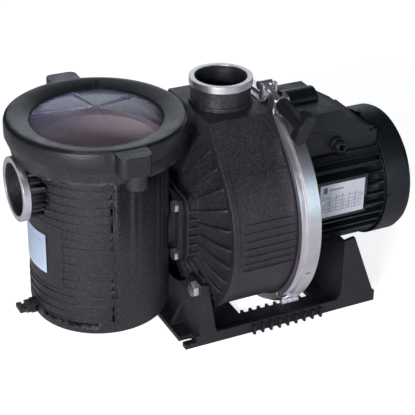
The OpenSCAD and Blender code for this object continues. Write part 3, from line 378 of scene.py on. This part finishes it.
def nameplateMetal():
    low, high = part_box("nameplate")
    m = newMaterial("nameplate_printed")
    x = axisValue(m, "X")
    z = axisValue(m, "Z")
    wide = high.x - low.x
    tall = high.z - low.z
    base = twoTone(m, ramp(m, noise(m, 60, 4), 0.3, 0.7), (0.66, 0.69, 0.78), (0.78, 0.80, 0.86))
    ink = (0.09, 0.10, 0.14)
    table = sums(m, "MULTIPLY", inside(m, z, low.z + 0.16 * tall, low.z + 0.66 * tall),
                 inside(m, x, low.x + 0.07 * wide, high.x - 0.06 * wide))
    rules = stripe(m, z, low.z + 0.16 * tall, 0.10 * tall, 0.0005)
    posts = stripe(m, x, low.x + 0.07 * wide, 0.145 * wide, 0.0005)
    grid = sums(m, "MAXIMUM", rules, posts)
    marks = sums(m, "GREATER_THAN", noise(m, 900, 2, 0.6, mapped(m, (1, 1, 0.45))), 0.56)
    rowsOn = stripe(m, z, low.z + 0.19 * tall, 0.10 * tall, 0.0018)
    words = sums(m, "MULTIPLY", sums(m, "MULTIPLY", marks, rowsOn), 0.6)
    base = overlay(m, sums(m, "MULTIPLY", table, sums(m, "MAXIMUM", grid, words)), base, ink)
    head = sums(m, "MULTIPLY", inside(m, z, low.z + 0.74 * tall, low.z + 0.93 * tall),
                inside(m, x, low.x + 0.07 * wide, low.x + 0.16 * wide))
    base = overlay(m, sums(m, "MULTIPLY", head, 0.9), base, ink)
    title = sums(m, "MULTIPLY", inside(m, z, low.z + 0.80 * tall, low.z + 0.86 * tall),
                 inside(m, x, low.x + 0.20 * wide, low.x + 0.52 * wide))
    base = overlay(m, sums(m, "MULTIPLY", title, 0.6), base, ink)
    m["links"].new(base, m["shader"].inputs["Base Color"])
    m["shader"].inputs["Metallic"].default_value = 0.25
    grain = noise(m, 400, 3, 0.6, mapped(m, (0.1, 1, 1)))
    m["links"].new(ramp(m, grain, 0.3, 0.7, 0.36, 0.52), m["shader"].inputs["Roughness"])
    m["links"].new(bump(m, noise(m, 45, 2), 0.1, 0.0004), m["shader"].inputs["Normal"])
    return m["material"]


def windingCopper():
    m = newMaterial("winding_enamel")
    x = axisValue(m, "X")
    strands = sums(m, "SINE", sums(m, "MULTIPLY", x, 6000.0))
    base = twoTone(m, ramp(m, strands, -1, 1), (0.30, 0.09, 0.03), (0.62, 0.24, 0.09))
    m["links"].new(base, m["shader"].inputs["Base Color"])
    m["shader"].inputs["Metallic"].default_value = 0.7
    m["links"].new(ramp(m, noise(m, 90, 3), 0.3, 0.7, 0.3, 0.5), m["shader"].inputs["Roughness"])
    m["links"].new(bump(m, strands, 0.4, 0.0006), m["shader"].inputs["Normal"])
    return m["material"]


def coreLamination(name):
    m = newMaterial(name)
    x = axisValue(m, "X")
    sheets = sums(m, "SINE", sums(m, "MULTIPLY", x, 9000.0))
    base = twoTone(m, ramp(m, sheets, -1, 1), (0.10, 0.10, 0.11), (0.24, 0.24, 0.26))
    m["links"].new(base, m["shader"].inputs["Base Color"])
    m["shader"].inputs["Metallic"].default_value = 0.8
    m["links"].new(ramp(m, noise(m, 90, 3), 0.3, 0.7, 0.4, 0.6), m["shader"].inputs["Roughness"])
    m["links"].new(bump(m, sheets, 0.3, 0.0003), m["shader"].inputs["Normal"])
    return m["material"]


print("stage: materials")
finish = {
    "black_plastic": moulded(
        "pump_black_moulding", (0.013, 0.0125, 0.0165), 1.4, 0.40, 0.42, 1000, 0.4, 0.55),
    "tank_plastic": moulded("tank_black_moulding", (0.017, 0.0155, 0.021), 1.4, 0.42, 0.46, 1000, 0.4, 0.50),
    "ring_plastic": moulded("lock_ring_moulding", (0.010, 0.0105, 0.013), 1.4, 0.34, 0.3, 1000, 0.4, 0.30),
    "base_plastic": moulded("base_moulding", (0.009, 0.010, 0.014), 1.4, 0.44, 0.3, 1000, 0.3, 0.35),
    "dark_plastic": moulded(
        "motor_dark_moulding", (0.0035, 0.0055, 0.0075), 1.5, 0.46, 0.18, 1500, 0.12, 0.2),
    "wet_plastic": moulded("wet_end_moulding", (0.05, 0.05, 0.055), 1.3, 0.45),
    "basket_plastic": moulded("basket_pale_moulding", (0.86, 0.76, 0.80), 0.85, 0.38, 0.10, 900, 0.1),
    "terminal_plastic": moulded("terminal_moulding", (0.26, 0.25, 0.16), 0.85, 0.5),
    "carbon": moulded("seal_carbon", (0.03, 0.03, 0.033), 1.4, 0.35),
    "ceramic": moulded("seal_ceramic", (0.70, 0.67, 0.60), 0.93, 0.2, 0.05),
    "stainless": metal("stainless_brushed", (0.84, 0.82, 0.87), 0.38, (1, 0.03, 0.03), 1400, 0.03, 0.04),
    "bearing_steel": metal("ground_steel", (0.50, 0.50, 0.52), 0.20, (0.1, 1, 1), 900),
    "brass": metal("turned_brass", (0.58, 0.42, 0.18), 0.28, (0.1, 1, 1)),
    "capacitor_case": metal("drawn_aluminium", (0.66, 0.66, 0.67), 0.35, (0.1, 1, 1)),
    "motor_paint": painted("motor_black_paint", (0.004, 0.006, 0.008), 0.45),
    "rubber": rubbery("seal_rubber", (0.012, 0.012, 0.012)),
    "clear_lid": clearLid(lidPlan),
    "label_film": potLabelFilm(),
    "nameplate_metal": nameplateMetal(),
    "copper": windingCopper(),
    "lamination": coreLamination("core_lamination"),
}
slotOf = {part["node"]: part["material_slot"] for part in frame["record"]["subparts"]}
ownFinish = {"tank_body": "tank_plastic", "lock_ring": "ring_plastic", "base": "base_plastic",
             "cover_screws": "motor_paint", "terminal_screws": "motor_paint"}


def dressNode(node):
    mesh = nodes[node].data
    mesh.materials.clear()
    mesh.materials.append(finish[ownFinish.get(node, slotOf[node])])


for node in nodes:
    dressNode(node)

print("stage: room, camera and lights")
bpy.context.scene.view_settings.view_transform = "Standard"
makeCamera(cameraPlan)
makeRoom(studioPlan)
makeFloor(studioPlan)
for lightName, plan in lightPlan.items():
    makeLight(lightName, plan)


def addPiece(name, mesh, body, slot, *replaced):
    piece = bpy.data.objects.new(name, mesh)
    bpy.context.scene.collection.objects.link(piece)
    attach(piece, body)
    if replaced:
        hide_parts(*replaced)
    return piece


def bodyOf(node):
    for body, members in frame["record"]["behaviour"]["bodies"].items():
        if node in members:
            return body


def smoothByAngle(mesh, degrees):
    for face in mesh.polygons:
        face.use_smooth = True
    mesh.set_sharp_from_angle(angle=math.radians(degrees))


# width of the rounding in mm, and the angle from which an edge counts as one
edgePlan = {
    "strainer_pot": (0.6, 24), "tank_body": (0.6, 24), "lock_ring": (1.2, 24), "base": (1.0, 30),
    "terminal_box": (1.2, 30), "terminal_lid": (1.4, 24), "fan_cover": (0.6, 30), "motor_frame": (0.5, 26),
    "clamp_front": (0.35, 24), "clamp_rear": (0.35, 24), "clamp_bottom": (0.35, 24), "clamp_knob": (1.6, 30),
    "suction_ring": (0.5, 30), "discharge_ring": (0.5, 30),
    "rear_shield": (0.6, 30), "motor_adapter": (0.6, 30),
    "cable_gland": (0.5, 30), "base_bolts": (0.4, 30), "drain_plug": (0.5, 30), "tank_drain_plug": (0.5, 30),
    "clamp_tbolt": (0.4, 30), "lid": (0, 12), "knob_washer": (0.3, 30),
    "impeller": (0.3, 30), "fan": (0.3, 30),
}


def roundedCopy(node, width, angle):
    bm = bmesh.new()
    bm.from_mesh(nodes[node].data)
    bmesh.ops.remove_doubles(bm, verts=bm.verts, dist=2e-6)
    if width:
        bmesh.ops.dissolve_limit(bm, angle_limit=math.radians(0.6), verts=bm.verts, edges=bm.edges)
    mesh = bpy.data.meshes.new(node + "_finished")
    bm.to_mesh(mesh)
    bm.free()
    mesh.materials.clear()
    mesh.materials.append(nodes[node].data.materials[0])
    smoothByAngle(mesh, angle)
    piece = addPiece(node + "_finished", mesh, bodyOf(node), slotOf[node], node)
    if not width:
        return piece
    soft = piece.modifiers.new("rounded_edges", "BEVEL")
    soft.width = width * mm
    soft.segments = 2
    soft.limit_method = "ANGLE"
    soft.angle_limit = math.radians(angle)
    soft.harden_normals = True
    soft.use_clamp_overlap = True
    return piece


print("stage: rounded parts")
for node, (width, angle) in edgePlan.items():
    roundedCopy(node, width, angle)


def newTree(name, sizes):
    tree = bpy.data.node_groups.new(name, "GeometryNodeTree")
    tree.interface.new_socket(name="Geometry", in_out="INPUT", socket_type="NodeSocketGeometry")
    for label, kind in sizes.items():
        tree.interface.new_socket(name=label, in_out="INPUT", socket_type="NodeSocket" + kind)
    tree.interface.new_socket(name="Geometry", in_out="OUTPUT", socket_type="NodeSocketGeometry")
    return tree, tree.nodes.new("NodeGroupInput"), tree.nodes.new("NodeGroupOutput")


def step(tree, kind, feeds=None, **settings):
    node = tree.nodes.new(kind)
    for key, value in settings.items():
        setattr(node, key, value)
    for label, value in (feeds or {}).items():
        socket = node.inputs[label]
        if isinstance(value, bpy.types.NodeSocket):
            tree.links.new(value, socket)
        else:
            socket.default_value = value
    return node


def calc(tree, kind, *values):
    feeds = dict(enumerate(values))
    return step(tree, "ShaderNodeMath", feeds, operation=kind).outputs[0]


def grown(name, tree, sizes, body, slot, *replaced):
    host = bpy.data.objects.new(name + "_host", bpy.data.meshes.new(name + "_host"))
    bpy.context.scene.collection.objects.link(host)
    modifier = host.modifiers.new("build", "NODES")
    modifier.node_group = tree
    for item in tree.interface.items_tree:
        if item.in_out == "INPUT" and item.name in sizes:
            modifier[item.identifier] = sizes[item.name]
    host.update_tag()
    graph = bpy.context.evaluated_depsgraph_get()
    mesh = bpy.data.meshes.new_from_object(host.evaluated_get(graph))
    mesh.name = name
    bpy.data.objects.remove(host)
    smoothByAngle(mesh, 40)
    return addPiece(name, mesh, body, slot, *replaced)


# small dark square blocks that stand for holes, painting the shade seen through them, in rows round a
# tapered wall, with none round the inlet
def holeTree():
    tree, given, result = newTree("basket_hole_shade_blocks", {
        "Columns": "Int", "Rows": "Int", "Bottom Radius": "Float", "Top Radius": "Float",
        "Bottom Height": "Float", "Row Pitch": "Float", "Hole": "Float", "Wall": "Float",
        "Inlet Height": "Float", "Inlet Radius": "Float", "Centre": "Vector", "Material": "Material"})
    size = given.outputs
    number = step(tree, "GeometryNodeInputIndex").outputs[0]
    column = calc(tree, "MODULO", number, size["Columns"])
    row = calc(tree, "FLOOR", calc(tree, "DIVIDE", number, size["Columns"]))
    angle = calc(tree, "DIVIDE", calc(tree, "MULTIPLY", column, math.tau), size["Columns"])
    part = calc(tree, "DIVIDE", row, calc(tree, "SUBTRACT", size["Rows"], 1.0))
    spread = calc(tree, "SUBTRACT", size["Top Radius"], size["Bottom Radius"])
    radius = calc(tree, "MULTIPLY_ADD", part, spread, size["Bottom Radius"])
    x = calc(tree, "MULTIPLY", radius, calc(tree, "COSINE", angle))
    y = calc(tree, "MULTIPLY", radius, calc(tree, "SINE", angle))
    z = calc(tree, "MULTIPLY_ADD", row, size["Row Pitch"], size["Bottom Height"])
    rise = calc(tree, "SUBTRACT", z, size["Inlet Height"])
    away = calc(tree, "SQRT", calc(tree, "ADD", calc(tree, "MULTIPLY", y, y),
                                   calc(tree, "MULTIPLY", rise, rise)))
    closeBy = calc(tree, "MULTIPLY", calc(tree, "LESS_THAN", away, size["Inlet Radius"]),
                   calc(tree, "LESS_THAN", x, 0.0))
    place = step(tree, "ShaderNodeCombineXYZ", {"X": x, "Y": y, "Z": z}).outputs[0]
    turn = step(tree, "ShaderNodeCombineXYZ", {"Z": angle}).outputs[0]
    count = calc(tree, "MULTIPLY", size["Columns"], size["Rows"])
    points = step(tree, "GeometryNodePoints", {"Count": count, "Position": place}).outputs[0]
    keptTurn = step(tree, "GeometryNodeStoreNamedAttribute", {
        "Geometry": points, "Name": "turn", "Value": turn},
        data_type="FLOAT_VECTOR", domain="POINT").outputs[0]
    kept = step(tree, "GeometryNodeStoreNamedAttribute", {
        "Geometry": keptTurn, "Name": "drop", "Value": closeBy},
        data_type="FLOAT", domain="POINT").outputs[0]
    drop = step(tree, "GeometryNodeInputNamedAttribute", {"Name": "drop"}, data_type="FLOAT").outputs[0]
    left = step(tree, "GeometryNodeDeleteGeometry", {
        "Geometry": kept, "Selection": calc(tree, "GREATER_THAN", drop, 0.5)}, domain="POINT").outputs[0]
    shape = step(tree, "ShaderNodeCombineXYZ", {"X": size["Wall"], "Y": size["Hole"], "Z": size["Hole"]})
    cube = step(tree, "GeometryNodeMeshCube", {"Size": shape.outputs[0]}).outputs["Mesh"]
    turned = step(tree, "GeometryNodeInputNamedAttribute", {"Name": "turn"},
                  data_type="FLOAT_VECTOR").outputs[0]
    copies = step(tree, "GeometryNodeInstanceOnPoints", {
        "Points": left, "Instance": cube, "Rotation": turned}).outputs[0]
    moved = step(tree, "GeometryNodeTransform", {
        "Geometry": copies, "Translation": size["Centre"]}).outputs[0]
    real = step(tree, "GeometryNodeRealizeInstances", {"Geometry": moved}).outputs[0]
    dressed = step(tree, "GeometryNodeSetMaterial", {"Geometry": real, "Material": size["Material"]})
    tree.links.new(dressed.outputs[0], result.inputs[0])
    return tree


# screw thread as a ridge wound along Z, then turned and placed
def threadTree():
    tree, given, result = newTree("port_thread", {
        "Radius": "Float", "Length": "Float", "Pitch": "Float", "Ridge": "Float",
        "Turn": "Vector", "Centre": "Vector", "Material": "Material"})
    size = given.outputs
    coil = step(tree, "GeometryNodeCurveSpiral", {
        "Resolution": 96, "Rotations": calc(tree, "DIVIDE", size["Length"], size["Pitch"]),
        "Start Radius": size["Radius"], "End Radius": size["Radius"],
        "Height": size["Length"]}).outputs[0]
    outline = step(tree, "GeometryNodeCurvePrimitiveCircle", {
        "Resolution": 4, "Radius": size["Ridge"]}).outputs[0]
    ridge = step(tree, "GeometryNodeCurveToMesh", {
        "Curve": coil, "Profile Curve": outline, "Fill Caps": True}).outputs[0]
    moved = step(tree, "GeometryNodeTransform", {
        "Geometry": ridge, "Translation": size["Centre"], "Rotation": size["Turn"]}).outputs[0]
    real = step(tree, "GeometryNodeRealizeInstances", {"Geometry": moved}).outputs[0]
    dressed = step(tree, "GeometryNodeSetMaterial", {"Geometry": real, "Material": size["Material"]})
    tree.links.new(dressed.outputs[0], result.inputs[0])
    return tree


basketPlan = {"columns": 78, "rows": 25, "hole": 2.6, "margin": 9.0, "inletMargin": 5.0,
              "wall": 2.2, "footRadius": 63.0, "lip": 7.5, "proud": 0.25, "ends": 2.1, "ringWall": 5.0}
threadPlan = {"radius": 28.5, "pitch": 2.3, "ridge": 0.85, "length": 18.0, "inset": 3.0}


def basketHoles(plan):
    low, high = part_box("basket")
    wall = plan["wall"] * mm
    centre = (low + high) / 2
    foot = plan["footRadius"] * mm
    top = (high.y - low.y) / 2 - plan["lip"] * mm
    height = high.z - low.z
    ringLow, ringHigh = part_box("suction_ring")
    rows = plan["rows"]
    first = low.z + plan["margin"] * mm
    pitch = (height - plan["ends"] * plan["margin"] * mm) / (rows - 1)
    lean = (top - foot) / height
    # dark blocks through the basket wall paint the shade seen through its holes
    return grown("basket_hole_shade_blocks", holeTree(), {
        "Columns": plan["columns"], "Rows": rows,
        "Bottom Radius": foot + lean * (first - low.z) - wall / 2,
        "Top Radius": foot + lean * (first - low.z + pitch * (rows - 1)) - wall / 2,
        "Bottom Height": first, "Row Pitch": pitch, "Hole": plan["hole"] * mm,
        "Wall": wall + 2 * plan["proud"] * mm,
        "Inlet Height": (ringLow.z + ringHigh.z) / 2,
        "Inlet Radius": (ringHigh.z - ringLow.z) / 2 + (plan["inletMargin"] - plan["ringWall"]) * mm,
        "Centre": (centre.x, centre.y, 0.0), "Material": finish["black_plastic"]},
        bodyOf("basket"), "black_plastic")


def portThreads(plan):
    for node, along in (("discharge_ring", "up"), ("suction_ring", "out")):
        low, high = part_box(node)
        middle = (low + high) / 2
        length = plan["length"] * mm
        inset = plan["inset"] * mm
        if along == "up":
            turn = (0.0, 0.0, 0.0)
            start = (middle.x, middle.y, high.z - inset - length)
        else:
            turn = (0.0, -math.pi / 2, 0.0)
            start = (low.x + inset + length, middle.y, middle.z)
        grown(node.replace("ring", "thread"), threadTree(), {
            "Radius": plan["radius"] * mm, "Length": length, "Pitch": plan["pitch"] * mm,
            "Ridge": plan["ridge"] * mm, "Turn": turn, "Centre": start,
            "Material": finish["black_plastic"]}, "pump", "black_plastic")


ridgePlan = {"sunk": 0.4, "crest": 0.7}     # mm below the surface, and the crest's share of the width


# raised line that follows a curved surface, as a closed strip
def ridgeMesh(name, paths, width, height):
    bm = bmesh.new()
    for path in paths:
        rings = []
        for i, (point, normal) in enumerate(path):
            ahead = path[min(i + 1, len(path) - 1)][0] - path[max(i - 1, 0)][0]
            side = ahead.cross(normal).normalized() * width / 2
            foot = point - normal * ridgePlan["sunk"] * mm
            crest = point + normal * height
            rings.append([bm.verts.new(v) for v in (
                foot - side, crest - side * ridgePlan["crest"],
                crest + side * ridgePlan["crest"], foot + side)])
        for one, two in zip(rings, rings[1:]):
            for k in range(4):
                bm.faces.new((one[k], two[k], two[(k + 1) % 4], one[(k + 1) % 4]))
        bm.faces.new(rings[0])
        bm.faces.new(reversed(rings[-1]))
    bmesh.ops.recalc_face_normals(bm, faces=bm.faces)
    mesh = bpy.data.meshes.new(name)
    bm.to_mesh(mesh)
    bm.free()
    return mesh


def betweenStops(stops, count):
    found = []
    for (a0, b0), (a1, b1) in zip(stops, stops[1:]):
        for i in range(count):
            t = i / count
            found.append((a0 + (a1 - a0) * t, b0 + (b1 - b0) * t))
    return found + [stops[-1]]


labelFramePlan = {"potRadius": 79.0, "angle": 38.0, "low": 98.0, "high": 177.0,
                  "width": 1.3, "height": 0.5}
# stops are mm along the shaft and degrees from the top, towards the near side
tankStepPlan = {"tankRadius": 119.0, "stops": ((-11, 39), (14, 39), (13, 58), (34, 58)),
                "width": 1.4, "height": 0.5}


def labelFrame(plan):
    low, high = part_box("basket")
    centre = (low + high) / 2
    pot = plan["potRadius"] * mm
    reach = plan["angle"]
    corners = ((-reach, plan["low"]), (reach, plan["low"]), (reach, plan["high"]),
               (-reach, plan["high"]), (-reach, plan["low"]))
    path = []
    for angle, z in betweenStops(corners, 14):
        out = Vector((-math.cos(math.radians(angle)), math.sin(math.radians(angle)), 0))
        path.append((Vector((centre.x, 0, z * mm)) + out * pot, out))
    mesh = ridgeMesh("pot_label_frame", [path], plan["width"] * mm, plan["height"] * mm)
    mesh.materials.append(finish["black_plastic"])
    smoothByAngle(mesh, 50)
    return addPiece("pot_label_frame", mesh, "pump", "black_plastic")


def tankStep(plan):
    shaftLow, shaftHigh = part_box("shaft")
    shaftZ = (shaftLow.z + shaftHigh.z) / 2
    path = []
    for x, angle in betweenStops(plan["stops"], 12):
        out = Vector((0, -math.sin(math.radians(angle)), math.cos(math.radians(angle))))
        path.append((Vector((x * mm, 0, shaftZ)) + out * plan["tankRadius"] * mm, out))
    mesh = ridgeMesh("tank_step_line", [path], plan["width"] * mm, plan["height"] * mm)
    mesh.materials.append(finish["tank_plastic"])
    smoothByAngle(mesh, 50)
    return addPiece("tank_step_line", mesh, "pump", "black_plastic")


print("stage: repeated details")
basketHoles(basketPlan)
portThreads(threadPlan)
labelFrame(labelFramePlan)
tankStep(tankStepPlan)

print("stage: done")
